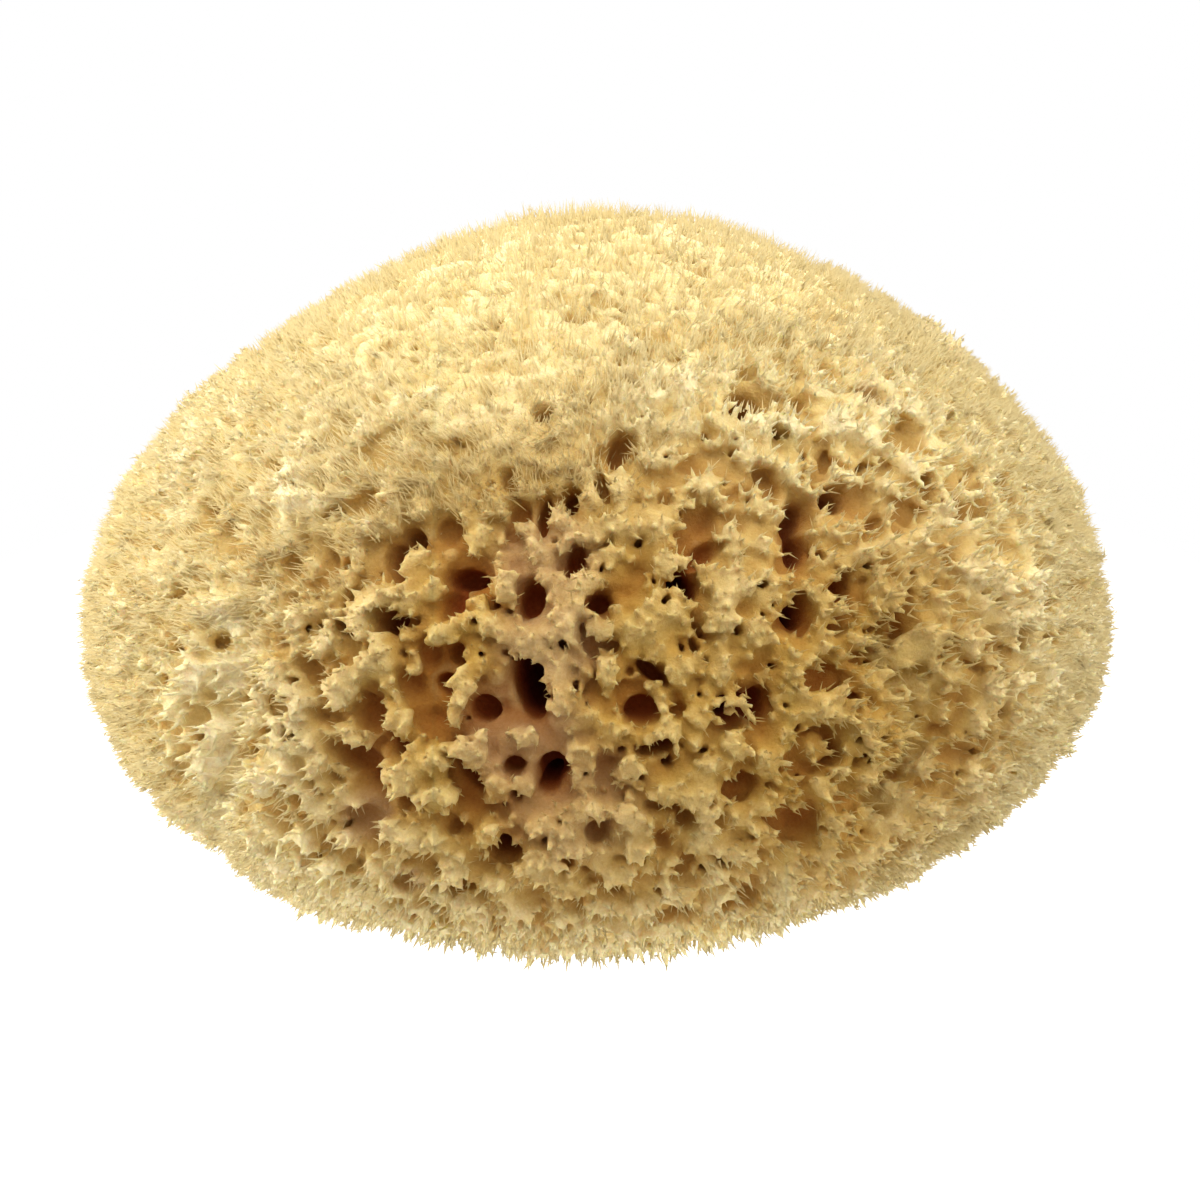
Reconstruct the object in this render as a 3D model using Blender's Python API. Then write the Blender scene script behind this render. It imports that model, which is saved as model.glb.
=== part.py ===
"""A natural bath sponge, dried and cut flat where it grew on the rock.

The sponge is one grown piece. Its skin is a field of pointed tufts with a web of ridges between
them, and the mouths of its water canals open as pits among the tufts. The cut underside is flat,
and canals end there as open holes.

The frame has +Z up, its origin in the middle of the cut, and the side that is seen first at -Y.
Lengths are in metres.
"""

import math

import bmesh
import bpy
import numpy as np

MM = 0.001
NAME = "sponge"

# The form that the tips of the tufts reach: an ellipsoid round a middle at the height of the
# widest girth. Its lower half would reach below the cut, which is at height 0.
HALF_WIDTH = 73.5 * MM
HALF_DEPTH = 63 * MM
RISE = 59 * MM
DROP = 42 * MM
GIRTH_HEIGHT = 36 * MM
MIDDLE = np.array((0.0, 0.0, GIRTH_HEIGHT))

# The eye that the sponge is drawn for. A place on the front is given by the pixel of the
# 1200 x 1200 picture at which this eye sees it.
PICTURE_PIXELS = 1200
PIXEL = 0.1468 * MM
EYE_ELEVATION = math.radians(28)
EYE_DISTANCE = 0.6
AIM = np.array((0.0, 0.0, 0.040))
TO_EYE = np.array((0.0, -math.cos(EYE_ELEVATION), math.sin(EYE_ELEVATION)))
PICTURE_RIGHT = np.array((1.0, 0.0, 0.0))
PICTURE_UP = np.array((0.0, math.sin(EYE_ELEVATION), math.cos(EYE_ELEVATION)))

# Where the form departs from the ellipsoid, round its outline as the eye sees it:
# the direction in degrees, anticlockwise from the right, and the share by which it swells.
SWELL_SPREAD = 0.45
SWELLS = (
    (0, 0.015),
    (45, -0.020),
    (90, 0.037),
    (135, -0.041),
    (180, 0.033),
    (225, 0.030),
    (270, -0.040),
    (315, -0.060),
)

# Furrows between the front of the sponge and its side lobes, as runs of pixels from top to bottom.
FURROW_DEPTH = 5 * MM
FURROW_HALF_WIDTH = 4 * MM
FURROWS = (
    ((222, 640), (212, 700), (206, 765), (196, 838)),
    ((905, 655), (935, 705), (940, 765), (900, 812)),
)

# Tufts. A tuft's tip reaches the form, give or take TIP_SPREAD, and the web between tufts lies
# lower the further it is from a tip.
TUFTS = 800
TUFT_SEED = 11
TIP_SPREAD = 1.6 * MM
TIP_LEAN = 1.1 * MM
WEB_DROP = 3.4 * MM
VALLEY_DROP = 3.8 * MM
TUFT_FOOT = 2.3 * MM
VALLEY_REACH = 2.2 * MM

# Mouths of canals on the front, read from the picture: centre x and y in pixels, width and
# height in pixels, tilt in degrees anticlockwise, and depth in millimetres.
FRONT_PORES = (
    (751, 391, 40, 30, 0, 15),
    (542, 409, 18, 20, 40, 9),
    (376, 436, 28, 34, 0, 6),
    (268, 462, 34, 18, 5, 6),
    (620, 442, 22, 38, -35, 11),
    (876, 389, 30, 24, 0, 7),
    (913, 425, 26, 22, 0, 6),
    (812, 390, 14, 18, 0, 8),
    (655, 326, 34, 24, 0, 6),
    (525, 330, 16, 20, 0, 6),
    (348, 498, 36, 18, 10, 6),
    (322, 512, 19, 17, 0, 7),
    (399, 532, 26, 22, -30, 13),
    (387, 562, 22, 46, 20, 16),
    (436, 524, 27, 26, 0, 9),
    (320, 553, 18, 24, 0, 7),
    (274, 564, 20, 22, 0, 7),
    (501, 476, 20, 22, 0, 8),
    (512, 509, 23, 27, 0, 9),
    (539, 510, 15, 44, 0, 13),
    (567, 492, 18, 24, 0, 13),
    (599, 478, 14, 38, 20, 9),
    (712, 515, 20, 34, -20, 9),
    (714, 549, 18, 34, -35, 11),
    (694, 581, 27, 36, 5, 17),
    (808, 514, 26, 42, -30, 14),
    (848, 492, 32, 30, 0, 14),
    (811, 548, 24, 32, 0, 15),
    (939, 489, 28, 40, -30, 6),
    (984, 508, 18, 30, -35, 8),
    (892, 524, 14, 30, -30, 8),
    (379, 621, 27, 27, 0, 14),
    (337, 631, 26, 14, -25, 9),
    (458, 576, 46, 24, -12, 15),
    (448, 604, 24, 34, 10, 13),
    (528, 600, 24, 42, -8, 15),
    (577, 558, 20, 44, -5, 13),
    (602, 605, 26, 22, 20, 14),
    (452, 659, 24, 28, 20, 11),
    (421, 661, 18, 22, 0, 10),
    (297, 668, 26, 26, -20, 7),
    (404, 693, 28, 24, 0, 9),
    (439, 693, 28, 22, -20, 13),
    (477, 717, 32, 26, 0, 14),
    (526, 694, 30, 66, 8, 17),
    (358, 716, 28, 34, 20, 10),
    (387, 744, 22, 40, 30, 15),
    (427, 724, 26, 24, 0, 9),
    (344, 764, 56, 28, -25, 11),
    (366, 790, 34, 26, -35, 13),
    (353, 827, 46, 30, 10, 8),
    (400, 809, 28, 20, 0, 8),
    (460, 778, 20, 60, 22, 15),
    (505, 775, 22, 20, 0, 12),
    (551, 778, 34, 34, -20, 15),
    (546, 798, 24, 18, 30, 17),
    (656, 676, 38, 16, -38, 12),
    (641, 718, 38, 30, 0, 13),
    (656, 754, 40, 18, 5, 10),
    (742, 712, 42, 34, 10, 17),
    (773, 708, 22, 40, 0, 16),
    (812, 612, 22, 36, 5, 17),
    (857, 590, 20, 36, 0, 14),
    (850, 620, 18, 30, -50, 12),
    (917, 684, 44, 22, 10, 9),
    (826, 751, 44, 42, 0, 10),
    (836, 682, 22, 20, 0, 8),
    (748, 795, 30, 20, 0, 9),
    (809, 831, 46, 36, -20, 9),
    (500, 866, 32, 27, -15, 18),
    (598, 845, 18, 20, 0, 8),
    (690, 832, 20, 18, 0, 7),
    (400, 891, 28, 24, 0, 7),
    (451, 897, 28, 20, 0, 7),
    (758, 900, 26, 28, 0, 7),
    (208, 708, 22, 24, 0, 9),
)

# Other canal mouths, spread over the rest of the sponge. They are larger in two zones, one at
# the front and one at the back, and small near the crown.
SCATTERED_PORES = 150
SCATTER_SEED = 5
PORE_RADII = (1.3 * MM, 3.4 * MM)
PORE_DEPTHS = (5 * MM, 15 * MM)
POROUS_ZONES = ((-0.05, -0.9, 0.1), (0.35, 0.85, -0.05), (-0.95, 0.2, -0.1))
ZONE_SPREAD = 0.75
PORE_GAP = 2.2 * MM

# Canals that the cut has opened, as rings of holes about the middle of the underside:
# the ring's radius, how many holes, and their radius and height inside the sponge.
CUT_CANALS = (
    (11 * MM, 5, 3.4 * MM, 13 * MM),
    (22 * MM, 9, 2.7 * MM, 9 * MM),
)
CANAL_SEED = 3

# Points that carry the skin, besides those of tufts and pits.
SKIN_POINTS = 3000
MOUTH_POINTS = 6
FLOOR_POINTS = 4
MOUTH_DROP = 3.6 * MM
FLOOR_SHARE = 0.62
RIM_SHARE = 1.9

# No tufts or skin points this far below the cut: directions steeper down than this.
UNDER_THE_CUT = -0.80

GOLDEN_TURN = math.pi * (1 + math.sqrt(5))


def unit(vectors):
    return vectors / np.linalg.norm(vectors, axis=-1, keepdims=True)


def swollen_form(directions):
    """How far the form reaches from the middle, along unit directions, without its furrows."""
    vertical = np.where(directions[:, 2] >= 0, RISE, DROP)
    axes = np.stack([np.full(len(directions), HALF_WIDTH), np.full(len(directions), HALF_DEPTH), vertical], 1)
    reach = 1 / np.linalg.norm(directions / axes, axis=1)
    for clock, share in SWELLS:
        angle = math.radians(clock)
        towards = math.cos(angle) * PICTURE_RIGHT + math.sin(angle) * PICTURE_UP
        apart = np.arccos(np.clip(directions @ towards, -1, 1))
        reach = reach * (1 + share * np.exp(-((apart / SWELL_SPREAD) ** 2)))
    return reach


def seen_at(pixels):
    """The unit directions, from the middle, of the points of the form that the eye sees at pixels."""
    pixels = np.asarray(pixels, float).reshape(-1, 2)
    eye = AIM + EYE_DISTANCE * TO_EYE
    across = (pixels[:, :1] - PICTURE_PIXELS / 2) * PIXEL * PICTURE_RIGHT
    upward = (PICTURE_PIXELS / 2 - pixels[:, 1:]) * PIXEL * PICTURE_UP
    rays = unit(AIM + across + upward - eye)
    found = np.zeros((len(pixels), 3))
    nearest = np.full(len(pixels), np.inf)
    for along in np.arange(EYE_DISTANCE - 0.085, EYE_DISTANCE + 0.03, 0.25 * MM):
        offset = eye + along * rays - MIDDLE
        outside = np.linalg.norm(offset, axis=1) / swollen_form(unit(offset))
        better = (nearest > 1) & (outside < nearest)
        found[better] = unit(offset)[better]
        nearest[better] = outside[better]
    return found


def furrow_lines():
    """Points 1 mm or so apart along each furrow, on the form."""
    points = []
    for run in FURROWS:
        run = np.array(run, float)
        steps = np.linspace(0, len(run) - 1, 60)
        pixels = np.stack([np.interp(steps, np.arange(len(run)), run[:, k]) for k in (0, 1)], 1)
        directions = seen_at(pixels)
        points.append(directions * swollen_form(directions)[:, None])
    return np.concatenate(points)


def form(directions, furrow_points):
    """How far the tips of the tufts reach from the middle, along unit directions."""
    reach = swollen_form(directions)
    points = directions * reach[:, None]
    nearest = np.full(len(points), np.inf)
    for furrow_point in furrow_points:
        nearest = np.minimum(nearest, ((points - furrow_point) ** 2).sum(1))
    return reach - FURROW_DEPTH * np.exp(-nearest / FURROW_HALF_WIDTH**2)


def lattice(count, jitter, random):
    """Unit directions spread evenly over a sphere, each moved by up to jitter of their spacing."""
    turns = np.arange(count) + 0.5
    height = 1 - 2 * turns / count
    level = np.sqrt(1 - height**2)
    even = np.stack([level * np.cos(GOLDEN_TURN * turns), level * np.sin(GOLDEN_TURN * turns), height], 1)
    spacing = math.sqrt(4 * math.pi / count)
    return unit(even + jitter * spacing * random.uniform(-1, 1, even.shape))


def evened(directions, rounds, furrow_points):
    """The directions moved apart until their points on the form are about equally spaced."""
    for _ in range(rounds):
        points = directions * form(directions, furrow_points)[:, None]
        apart = points[:, None] - points[None]
        distance = np.linalg.norm(apart, axis=2) + 1e-9
        spacing = np.sort(distance, axis=1)[:, 6].mean()
        push = np.clip(1.25 - distance / spacing, 0, None)
        np.fill_diagonal(push, 0)
        points = points + 0.22 * spacing * (push[..., None] * apart / distance[..., None]).sum(1)
        directions = unit(points)
    return directions


def tangents(direction, toward):
    """Two unit vectors across a direction, the first as near to `toward` as it can be."""
    first = toward - direction * (toward @ direction)
    first = first / np.linalg.norm(first)
    return first, np.cross(direction, first)


def front_pores():
    """The pits read from the picture: (middle on the form, half axes across it, depth)."""
    sizes = np.array(FRONT_PORES, float)
    pores = []
    for direction, (_, _, width, height, tilt, depth) in zip(seen_at(sizes[:, :2]), sizes):
        right, upward = tangents(direction, PICTURE_RIGHT)
        turn = math.radians(tilt)
        long_axis = math.cos(turn) * right + math.sin(turn) * upward
        short_axis = math.cos(turn) * upward - math.sin(turn) * right
        middle = direction * swollen_form(direction[None])[0]
        pores.append((middle, width / 2 * PIXEL * long_axis, height / 2 * PIXEL * short_axis, depth * MM))
    return pores


def scattered_pores(taken, furrow_points):
    """Pits over the rest of the sponge, clear of the ones already taken."""
    random = np.random.default_rng(SCATTER_SEED)
    zones = unit(np.array(POROUS_ZONES))
    pores = list(taken)
    directions = lattice(SCATTERED_PORES, 0.4, random)
    for direction, reach in zip(directions, form(directions, furrow_points)):
        nearness = np.arccos(np.clip(zones @ direction, -1, 1)).min() / ZONE_SPREAD
        porous = math.exp(-(nearness**2))
        share = np.clip(0.75 * porous + random.uniform(-0.1, 0.35), 0, 1)
        radius = PORE_RADII[0] + share * (PORE_RADII[1] - PORE_RADII[0])
        depth = PORE_DEPTHS[0] + share * (PORE_DEPTHS[1] - PORE_DEPTHS[0])
        turn = random.uniform(0, math.tau)
        stretch = random.uniform(1.0, 1.5)
        middle = direction * reach
        clear = all(
            np.linalg.norm(middle - other) > radius + max(np.linalg.norm(a), np.linalg.norm(b)) + PORE_GAP
            for other, a, b, _ in pores
        )
        if not clear:
            continue
        right, upward = tangents(direction, np.array((0.3, 0.5, 0.8)))
        long_axis = math.cos(turn) * right + math.sin(turn) * upward
        short_axis = math.cos(turn) * upward - math.sin(turn) * right
        pores.append((middle, radius * stretch * long_axis, radius / stretch * short_axis, depth))
    return pores[len(taken):]


def cut_canals():
    """The canals that end at the cut: (direction of the hole's middle, its radius, its height)."""
    random = np.random.default_rng(CANAL_SEED)
    canals = []
    for ring, count, radius, height in CUT_CANALS:
        for k in range(count):
            angle = math.tau * (k + random.uniform(-0.25, 0.25)) / count
            reach = ring * random.uniform(0.92, 1.08)
            at = np.array((1.12 * reach * math.cos(angle), reach * math.sin(angle), 0.0)) - MIDDLE
            canals.append((at, radius * random.uniform(0.8, 1.2), height * random.uniform(0.8, 1.2)))
    return canals


def inside(points, middle, axis_a, axis_b):
    """How far points are from a pit's middle, with its rim at 1."""
    offset = points - middle
    return np.sqrt((offset @ axis_a / (axis_a @ axis_a)) ** 2 + (offset @ axis_b / (axis_b @ axis_b)) ** 2)


def off_the_pores(directions, pores, furrow_points, rim):
    """The directions, with those inside a pit moved out to its rim."""
    points = directions * form(directions, furrow_points)[:, None]
    for middle, axis_a, axis_b, _ in pores:
        near = np.linalg.norm(points - middle, axis=1) < 4 * np.linalg.norm(axis_a + axis_b)
        share = inside(points, middle, axis_a, axis_b)
        wanted = rim + 0.9 * MM / math.sqrt(np.linalg.norm(axis_a) * np.linalg.norm(axis_b))
        moved = near & (share < wanted)
        push = (wanted / np.maximum(share[moved], 0.05))[:, None]
        points[moved] = middle + (points[moved] - middle) * push
    return unit(points)


def skin_points():
    """Directions and radii, from the middle, of every point of the sponge's skin."""
    furrow_points = furrow_lines()
    pores = front_pores()
    pores = pores + scattered_pores(pores, furrow_points)
    random = np.random.default_rng(TUFT_SEED)
    tufts = evened(lattice(TUFTS, 0.35, random), 12, furrow_points)
    tufts = off_the_pores(tufts, pores, furrow_points, 1.0)
    tufts = tufts[tufts[:, 2] > UNDER_THE_CUT]

    tips = form(tufts, furrow_points) - TIP_SPREAD * random.uniform(0, 1, len(tufts))
    leaning = unit(tufts * tips[:, None] + TIP_LEAN * random.uniform(-1, 1, tufts.shape))
    directions, radii = [leaning], [tips]

    for middle, axis_a, axis_b, depth in pores:
        for count, share, drop in ((MOUTH_POINTS, 1.0, MOUTH_DROP), (FLOOR_POINTS, FLOOR_SHARE, depth)):
            angles = math.tau * (np.arange(count) + random.uniform()) / count
            ring = middle + share * (np.outer(np.cos(angles), axis_a) + np.outer(np.sin(angles), axis_b))
            directions.append(unit(ring))
            radii.append(form(unit(ring), furrow_points) - drop)

    for at, radius, height in cut_canals():
        right, forward = np.array((radius, 0, 0)), np.array((0, radius, 0))
        for count, share, lift in ((MOUTH_POINTS, 1.25, 0.0), (FLOOR_POINTS, 0.8, height)):
            angles = math.tau * (np.arange(count) + random.uniform()) / count
            ring = at + share * (np.outer(np.cos(angles), right) + np.outer(np.sin(angles), forward))
            directions.append(unit(ring))
            radii.append(np.linalg.norm(ring, axis=1) - lift if lift else form(unit(ring), furrow_points))

    fill = lattice(SKIN_POINTS, 0.3, random)
    reach = form(fill, furrow_points)
    points = fill * reach[:, None]
    tip_points = tufts * form(tufts, furrow_points)[:, None]
    nearest = np.sqrt(((points[:, None] - tip_points[None]) ** 2).sum(2).min(1))
    kept = (nearest > TUFT_FOOT) & (fill[:, 2] > UNDER_THE_CUT)
    rim = np.zeros(len(fill), bool)
    for middle, axis_a, axis_b, _ in pores:
        near = np.linalg.norm(points - middle, axis=1) < 12 * MM
        share = inside(points, middle, axis_a, axis_b)
        kept &= ~(near & (share < 1.3))
        rim |= near & (share < RIM_SHARE)
    for at, radius, _ in cut_canals():
        away = np.linalg.norm(fill * (GIRTH_HEIGHT / np.maximum(-fill[:, 2:], 0.05)) - at, axis=1)
        kept &= ~((fill[:, 2] < -0.3) & (away < 1.6 * radius))
    sag = np.where(rim, 0, np.clip((nearest - TUFT_FOOT) / VALLEY_REACH, 0, 1))
    directions.append(fill[kept])
    radii.append(reach[kept] - WEB_DROP - VALLEY_DROP * sag[kept])
    return np.concatenate(directions), np.concatenate(radii)


def skin_mesh():
    """The closed skin: a hull of the directions gives the faces, and then each point takes its radius."""
    directions, radii = skin_points()
    tips = directions * radii[:, None]
    overhang = (tips.max(0) + tips.min(0)) / 2
    mesh = bmesh.new()
    radius_of = {}
    for direction, radius in zip(directions, radii):
        radius_of[mesh.verts.new(direction)] = radius
    bmesh.ops.convex_hull(mesh, input=mesh.verts)
    bmesh.ops.delete(mesh, geom=[v for v in mesh.verts if not v.link_faces], context="VERTS")
    for vertex in mesh.verts:
        vertex.co = vertex.co.normalized() * radius_of[vertex]
        vertex.co.x -= overhang[0]
        vertex.co.y -= overhang[1]
        vertex.co.z += GIRTH_HEIGHT
    bmesh.ops.recalc_face_normals(mesh, faces=mesh.faces)
    data = bpy.data.meshes.new(NAME)
    mesh.to_mesh(data)
    mesh.free()
    return data


def dried_sponge():
    """The sponge's own finish: dry, matt and straw yellow."""
    material = bpy.data.materials.new(NAME)
    material.use_nodes = True
    shader = material.node_tree.nodes["Principled BSDF"]
    shader.inputs["Base Color"].default_value = (0.72, 0.52, 0.24, 1)
    shader.inputs["Roughness"].default_value = 0.95
    shader.inputs["Metallic"].default_value = 0
    return material


def ground_cutter(collection):
    """A block whose top is the plane of the cut."""
    side = 4 * HALF_WIDTH
    bpy.ops.mesh.primitive_cube_add(size=side, location=(0, 0, -side / 2))
    block = bpy.context.object
    block.name = "ground_cut"
    block.hide_render = True
    block.display_type = "WIRE"
    for holder in list(block.users_collection):
        holder.objects.unlink(block)
    collection.objects.link(block)
    return block


def main():
    for old in list(bpy.data.objects):
        bpy.data.objects.remove(old)
    parts = bpy.data.collections.new("bath_sponge")
    cutters = bpy.data.collections.new("cutters")
    for collection in (parts, cutters):
        bpy.context.scene.collection.children.link(collection)

    sponge = bpy.data.objects.new(NAME, skin_mesh())
    sponge.data.materials.append(dried_sponge())
    parts.objects.link(sponge)
    cut = sponge.modifiers.new("flat_cut", "BOOLEAN")
    cut.operation = "DIFFERENCE"
    cut.solver = "EXACT"
    cut.object = ground_cutter(cutters)


main()
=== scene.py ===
"""The look of the dried natural bath sponge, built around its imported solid.

The sponge is grown in a grid of distances: a core, tufts with their crowns, the walls between them
and the teeth on their rims are merged into it, and the canals are bored out of it. Its surface is
cut into three closed pieces side by side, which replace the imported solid. Points, a fringe and two
lengths of fuzz stand on it, as joined meshes of closed spikes.

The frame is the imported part's: +Z up, the origin in the middle of the cut, the front at -Y.
The form's sizes are in millimetres up to the meshes, which are in metres.
"""

import math

import bmesh
import bpy
import numpy as np
import openvdb
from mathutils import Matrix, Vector


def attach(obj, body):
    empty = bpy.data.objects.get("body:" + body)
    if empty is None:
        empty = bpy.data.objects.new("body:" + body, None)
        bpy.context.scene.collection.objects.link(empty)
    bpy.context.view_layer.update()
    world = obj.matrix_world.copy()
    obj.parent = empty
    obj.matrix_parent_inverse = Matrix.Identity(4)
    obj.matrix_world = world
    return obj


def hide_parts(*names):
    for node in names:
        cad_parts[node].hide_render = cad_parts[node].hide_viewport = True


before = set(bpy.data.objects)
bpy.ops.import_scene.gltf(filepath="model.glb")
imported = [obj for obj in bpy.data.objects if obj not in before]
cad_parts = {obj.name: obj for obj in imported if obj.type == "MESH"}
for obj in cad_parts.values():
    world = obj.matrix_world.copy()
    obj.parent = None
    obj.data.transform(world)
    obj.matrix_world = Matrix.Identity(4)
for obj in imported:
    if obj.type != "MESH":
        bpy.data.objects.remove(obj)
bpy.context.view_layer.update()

MM = 0.001

# The form that the tips of the tufts reach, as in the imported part: an ellipsoid round MIDDLE.
HALF_WIDTH = 73.5
HALF_DEPTH = 63
RISE = 59
DROP = 42
MIDDLE = np.array((0.0, 0.0, 36.0))

# The photograph's frame: a pixel of its 1200 x 1200 is PIXEL across at the distance of AIM.
PICTURE_PIXELS = 1200
PIXEL = 0.1468
EYE_ELEVATION = math.radians(28)
EYE_DISTANCE = 600
AIM = np.array((0.0, 0.0, 40.0))
TO_EYE = np.array((0.0, -math.cos(EYE_ELEVATION), math.sin(EYE_ELEVATION)))
PICTURE_RIGHT = np.array((1.0, 0.0, 0.0))
PICTURE_UP = np.array((0.0, math.sin(EYE_ELEVATION), math.cos(EYE_ELEVATION)))

# The form is looked for along a ray from this far before the aim to this far beyond it.
SEARCH_BEFORE = 85
SEARCH_BEYOND = 30
SEARCH_STEP = 0.25

# Departures from the ellipsoid round the outline: direction in degrees, share of swelling.
SWELL_SPREAD = 0.45
SWELLS = (
    (0, 0.015), (45, -0.020), (90, 0.037), (135, -0.041),
    (180, 0.033), (225, 0.030), (270, -0.040), (315, -0.060),
)

# Furrows between the front and the side lobes, as runs of pixels.
FURROW_DEPTH = 5
FURROW_HALF_WIDTH = 4
FURROW_POINTS_EACH = 60
FURROWS = (
    ((222, 640), (212, 700), (206, 765), (196, 838)),
    ((905, 655), (935, 705), (940, 765), (900, 812)),
)

# Mouths of canals on the front, read from the picture, three to a line: centre x and y in pixels,
# width and height in pixels, tilt in degrees anticlockwise, and depth in millimetres.
FRONT_PORES = (
    (751, 391, 40, 30, 0, 15), (542, 409, 18, 20, 40, 9), (376, 436, 28, 34, 0, 6),
    (268, 462, 34, 18, 5, 6), (620, 442, 22, 38, -35, 11), (876, 389, 30, 24, 0, 7),
    (913, 425, 26, 22, 0, 6), (812, 390, 14, 18, 0, 8), (655, 326, 34, 24, 0, 6),
    (525, 330, 16, 20, 0, 6), (348, 498, 36, 18, 10, 6), (322, 512, 19, 17, 0, 7),
    (399, 532, 26, 22, -30, 13), (387, 562, 22, 46, 20, 16), (436, 524, 27, 26, 0, 9),
    (320, 553, 18, 24, 0, 7), (274, 564, 20, 22, 0, 7), (501, 476, 20, 22, 0, 8),
    (512, 509, 23, 27, 0, 9), (539, 510, 15, 44, 0, 13), (567, 492, 18, 24, 0, 13),
    (599, 478, 14, 38, 20, 9), (712, 515, 20, 34, -20, 9), (714, 549, 18, 34, -35, 11),
    (694, 581, 27, 36, 5, 17), (808, 514, 26, 42, -30, 14), (848, 492, 32, 30, 0, 14),
    (811, 548, 24, 32, 0, 15), (939, 489, 28, 40, -30, 6), (984, 508, 18, 30, -35, 8),
    (892, 524, 14, 30, -30, 8), (379, 621, 27, 27, 0, 14), (337, 631, 26, 14, -25, 9),
    (458, 576, 46, 24, -12, 15), (448, 604, 24, 34, 10, 13), (528, 600, 24, 42, -8, 15),
    (577, 558, 20, 44, -5, 13), (602, 605, 26, 22, 20, 14), (452, 659, 24, 28, 20, 11),
    (421, 661, 18, 22, 0, 10), (297, 668, 26, 26, -20, 7), (404, 693, 28, 24, 0, 9),
    (439, 693, 28, 22, -20, 13), (477, 717, 32, 26, 0, 14), (526, 694, 30, 66, 8, 17),
    (358, 716, 28, 34, 20, 10), (387, 744, 22, 40, 30, 15), (427, 724, 26, 24, 0, 9),
    (344, 764, 56, 28, -25, 11), (366, 790, 34, 26, -35, 13), (353, 827, 46, 30, 10, 8),
    (400, 809, 28, 20, 0, 8), (460, 778, 20, 60, 22, 15), (505, 775, 22, 20, 0, 12),
    (551, 778, 34, 34, -20, 15), (546, 798, 24, 18, 30, 17), (656, 676, 38, 16, -38, 12),
    (641, 718, 38, 30, 0, 13), (656, 754, 40, 18, 5, 10), (742, 712, 42, 34, 10, 17),
    (773, 708, 22, 40, 0, 16), (812, 612, 22, 36, 5, 17), (857, 590, 20, 36, 0, 14),
    (850, 620, 18, 30, -50, 12), (917, 684, 44, 22, 10, 9), (826, 751, 44, 42, 0, 10),
    (836, 682, 22, 20, 0, 8), (748, 795, 30, 20, 0, 9), (809, 831, 46, 36, -20, 9),
    (500, 866, 32, 27, -15, 18), (598, 845, 18, 20, 0, 8), (690, 832, 20, 18, 0, 7),
    (400, 891, 28, 24, 0, 7), (451, 897, 28, 20, 0, 7), (758, 900, 26, 28, 0, 7),
    (208, 708, 22, 24, 0, 9),
)

# Smaller mouths on the front, read the same way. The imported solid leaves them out.
SMALL_PORES = (
    (637, 325, 10, 16, 0, 6), (749, 362, 10, 8, 0, 5), (506, 530, 18, 14, 0, 7),
    (674, 490, 12, 14, 0, 6), (807, 417, 14, 16, 0, 4), (213, 537, 10, 25, 0, 4),
    (339, 565, 14, 14, 0, 7), (444, 578, 14, 14, 0, 13), (493, 605, 8, 12, 0, 10),
    (369, 653, 16, 8, 0, 5), (311, 693, 12, 8, 0, 10), (277, 699, 18, 8, 0, 6),
    (210, 763, 16, 16, 0, 8), (200, 646, 26, 16, 0, 7), (318, 717, 40, 22, 0, 6),
    (287, 738, 22, 10, 0, 6), (445, 842, 14, 18, 0, 8), (709, 638, 10, 6, 0, 8),
    (500, 712, 8, 16, 0, 8), (509, 806, 12, 14, 0, 10), (679, 717, 18, 14, 0, 7),
    (666, 773, 12, 12, 0, 9), (564, 868, 12, 10, 0, 6), (843, 761, 16, 20, 0, 11),
    (908, 623, 14, 16, 0, 7), (933, 761, 30, 14, 25, 9), (829, 674, 12, 8, 0, 6),
    (745, 633, 8, 8, 0, 6), (784, 777, 12, 8, 0, 8), (885, 814, 12, 10, 0, 6),
    (1034, 634, 14, 14, 0, 4), (1037, 682, 20, 14, 0, 4), (339, 876, 20, 10, 0, 5),
    (482, 820, 22, 12, 0, 7), (695, 889, 24, 24, 0, 4),
)

# The lump in the pit at the right: x and y in pixels, radius and depth in millimetres.
LUMP = (823, 754, 2.3, 4.6)

# Thin strands across the darkest pit: both ends in pixels, and their depth in millimetres.
STRANDS = (
    ((723, 702), (758, 709), 1.0),
    ((731, 694), (762, 722), 1.6),
    ((722, 722), (752, 700), 2.2),
)
STRAND_RADIUS = 0.34

# The grid: coarse cells carry the form and the drift of the growth, fine cells the sponge.
COARSE = 2.0
FINE_PER_COARSE = 5
VOXEL = COARSE / FINE_PER_COARSE
GRID_LOW = np.array((-81.0, -71.0, -4.0))
COARSE_SHAPE = (82, 72, 55)
OUTSIDE = 4.0

# What counts as the fullness round a fibre's root and tip, and how far its shading is the coat's.
ROOT_FULLNESS = 0.36
TIP_FULLNESS = 0.16
COAT_SHADING = 0.9

# The triangles of the body, in how many pieces, and the fibres in each piece of fuzz.
BODY_TRIANGLES = 510000
BODY_PIECES = 3
FUZZ_FIBRES = 42000
FRINGE_FIBRES = 28000

# The two lengths of fuzz: name, length and radius in millimetres.
FUZZ_KINDS = (
    ("sponge_fuzz_long", 3.6, 0.16),
    ("sponge_fuzz_short", 2.3, 0.14),
)

COMBING_WAVES = 24

GOLDEN_TURN = math.pi * (1 + math.sqrt(5))
SEED = 21

# The depth at which the painted shade of the canals is at its darkest. A mouth that doesn't look black in the
# picture, up to BLACK_FROM, is shallower here than in the imported solid.
DEEPEST = 16.0
BLACK_FROM = 16
SHALLOWER = 0.72
LEAST_DEPTH = 3.5

# A canal's width as a share of its mouth's: at the form, what it loses by its end, and what it
# gains above the form over FLARE_HEIGHT.
MOUTH = 1.08
NARROWING = 0.35
FLARE = 0.25
FLARE_HEIGHT = 3

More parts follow.
